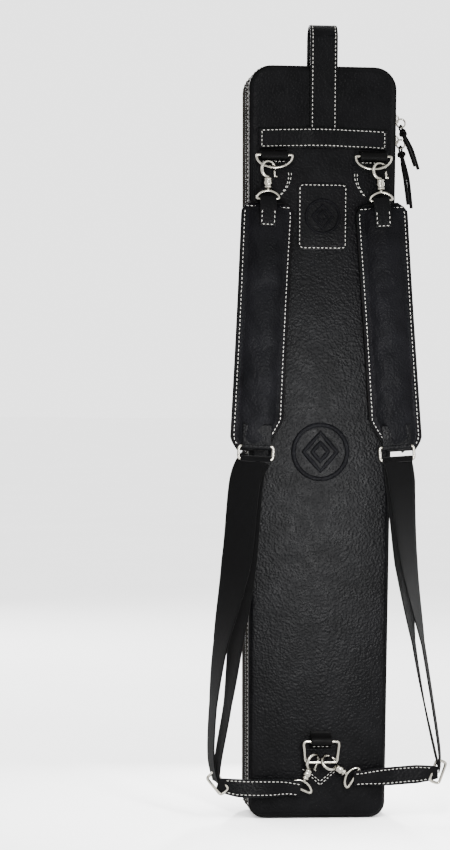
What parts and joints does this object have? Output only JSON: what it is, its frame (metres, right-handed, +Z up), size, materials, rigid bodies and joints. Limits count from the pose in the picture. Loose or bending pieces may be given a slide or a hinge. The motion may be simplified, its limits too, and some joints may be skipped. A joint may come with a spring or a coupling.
{
  "type": "cue case",
  "caption": "Tall soft leather cue case that opens like a book, with two zipped front pockets, a top handle and two padded shoulder straps.",
  "frame": {"origin": "on the base face of the case, midway across it, at the plane between the two half shells", "axes": "+Z up along the case, -Y towards the pockets, +X to the viewer's right when the pockets face the viewer"},
  "size_m": [0.2798, 0.1411, 0.91],
  "materials": {
    "leather": "smooth satin black leather",
    "pebbled": "pebbled black leather",
    "trim": "black leather binding and laces",
    "webbing": "ribbed nylon webbing",
    "tape": "woven zip tape",
    "plush": "soft lining over foam",
    "elastic": "elastic strap",
    "nickel": "polished nickel"
  },
  "bodies": {
    "rear_half": {"rear_shell": "leather", "butt_insert": "plush", "butt_strap": "elastic", "rear_zip_tape": "tape", "spine_roll": "trim", "carry_handle": "leather", "cross_patch": "trim", "badge_patch": "trim", "keeper_left": "trim", "keeper_right": "trim", "anchor_left": "trim", "anchor_right": "trim", "lower_patch": "trim", "lower_keeper": "trim", "lower_ring": "nickel", "webbing_left": "webbing", "webbing_right": "webbing", "glide_left": "nickel", "glide_right": "nickel", "end_tab_left": "trim", "end_tab_right": "trim", "low_hook_left": "nickel", "low_hook_right": "nickel"},
    "front_cover": {"front_shell": "leather", "shaft_insert": "plush", "shaft_strap": "elastic", "front_zip_tape": "tape", "upper_base": "leather", "lower_base": "leather"},
    "upper_flap": {"upper_door": "pebbled"},
    "lower_flap": {"lower_door": "pebbled"},
    "left_strap": {"d_ring_left": "nickel", "hook_left": "nickel", "pad_tab_left": "trim", "pad_left": "leather", "pad_ring_left": "nickel"},
    "right_strap": {"d_ring_right": "nickel", "hook_right": "nickel", "pad_tab_right": "trim", "pad_right": "leather", "pad_ring_right": "nickel"},
    "gate_left": {"trigger_left": "nickel"},
    "gate_right": {"trigger_right": "nickel"},
    "low_gate_left": {"low_trigger_left": "nickel"},
    "low_gate_right": {"low_trigger_right": "nickel"},
    "main_runner_a": {"main_slider_a": "nickel"},
    "main_tag_a": {"main_pull_a": "trim"},
    "main_runner_b": {"main_slider_b": "nickel"},
    "main_tag_b": {"main_pull_b": "trim"},
    "upper_runner": {"upper_slider": "nickel"},
    "upper_tag": {"upper_pull": "trim"},
    "lower_runner_a": {"lower_slider_a": "nickel"},
    "lower_tag_a": {"lower_pull_a": "trim"},
    "lower_runner_b": {"lower_slider_b": "nickel"},
    "lower_tag_b": {"lower_pull_b": "trim"}
  },
  "joints": [
    {"name": "case_hinge", "type": "hinge", "parent": "rear_half", "child": "front_cover", "pos_m": [-0.08125, 0, 0.431], "axis": [0.0075, 0, -1], "range_deg": [0, 100]},
    {"name": "upper_pocket_hinge", "type": "hinge", "parent": "front_cover", "child": "upper_flap", "pos_m": [-0.0597, -0.056, 0.7], "axis": [0, 0, -1], "range_deg": [0, 90]},
    {"name": "lower_pocket_hinge", "type": "hinge", "parent": "front_cover", "child": "lower_flap", "pos_m": [-0.0597, -0.056, 0.27], "axis": [0, 0, -1], "range_deg": [0, 90]},
    {"name": "left_strap_swing", "type": "hinge", "parent": "rear_half", "child": "left_strap", "pos_m": [0.057, 0.0505, 0.758], "axis": [1, 0, 0], "range_deg": [0, 25]},
    {"name": "right_strap_swing", "type": "hinge", "parent": "rear_half", "child": "right_strap", "pos_m": [-0.057, 0.0505, 0.758], "axis": [1, 0, 0], "range_deg": [0, 25]},
    {"name": "gate_left_slide", "type": "slide", "parent": "left_strap", "child": "gate_left", "axis": [0, 0, -1], "range_m": [0, 0.004], "stiffness_N_per_m": 300},
    {"name": "gate_right_slide", "type": "slide", "parent": "right_strap", "child": "gate_right", "axis": [-0.0698, 0, -0.9976], "range_m": [0, 0.004], "stiffness_N_per_m": 300},
    {"name": "low_gate_left_slide", "type": "slide", "parent": "rear_half", "child": "low_gate_left", "axis": [0.4067, 0, -0.9135], "range_m": [0, 0.004], "stiffness_N_per_m": 300},
    {"name": "low_gate_right_slide", "type": "slide", "parent": "rear_half", "child": "low_gate_right", "axis": [-0.8387, 0, -0.5446], "range_m": [0, 0.004], "stiffness_N_per_m": 300},
    {"name": "main_zip_a", "type": "slide", "parent": "rear_half", "child": "main_runner_a", "axis": [-0.0075, 0, 1], "range_m": [0, 0.03]},
    {"name": "main_tag_a_swing", "type": "hinge", "parent": "main_runner_a", "child": "main_tag_a", "pos_m": [-0.0949, 0.009, 0.777], "axis": [0, 1, 0], "range_deg": [0, 50]},
    {"name": "main_zip_b", "type": "slide", "parent": "rear_half", "child": "main_runner_b", "axis": [-0.0075, 0, 1], "range_m": [0, 0.03]},
    {"name": "main_tag_b_swing", "type": "hinge", "parent": "main_runner_b", "child": "main_tag_b", "pos_m": [-0.09508, 0.009, 0.801], "axis": [0, 1, 0], "range_deg": [0, 50]},
    {"name": "upper_zip", "type": "slide", "parent": "front_cover", "child": "upper_runner", "axis": [0, 0, 1], "range_m": [0, 0.012]},
    {"name": "upper_tag_swing", "type": "hinge", "parent": "upper_runner", "child": "upper_tag", "pos_m": [-0.0761, -0.049, 0.772], "axis": [0, 1, 0], "range_deg": [0, 50]},
    {"name": "lower_zip_a", "type": "slide", "parent": "front_cover", "child": "lower_runner_a", "axis": [0, 0, 1], "range_m": [0, 0.03]},
    {"name": "lower_tag_a_swing", "type": "hinge", "parent": "lower_runner_a", "child": "lower_tag_a", "pos_m": [-0.0761, -0.049, 0.453], "axis": [0, 1, 0], "range_deg": [0, 50]},
    {"name": "lower_zip_b", "type": "slide", "parent": "front_cover", "child": "lower_runner_b", "axis": [0, 0, 1], "range_m": [0, 0.03]},
    {"name": "lower_tag_b_swing", "type": "hinge", "parent": "lower_runner_b", "child": "lower_tag_b", "pos_m": [-0.0761, -0.049, 0.477], "axis": [0, 1, 0], "range_deg": [0, 50]}
  ],
  "couplings": [
    {"joint": "main_zip_b", "follows": "main_zip_a", "ratio": 1},
    {"joint": "lower_zip_b", "follows": "lower_zip_a", "ratio": 1}
  ]
}
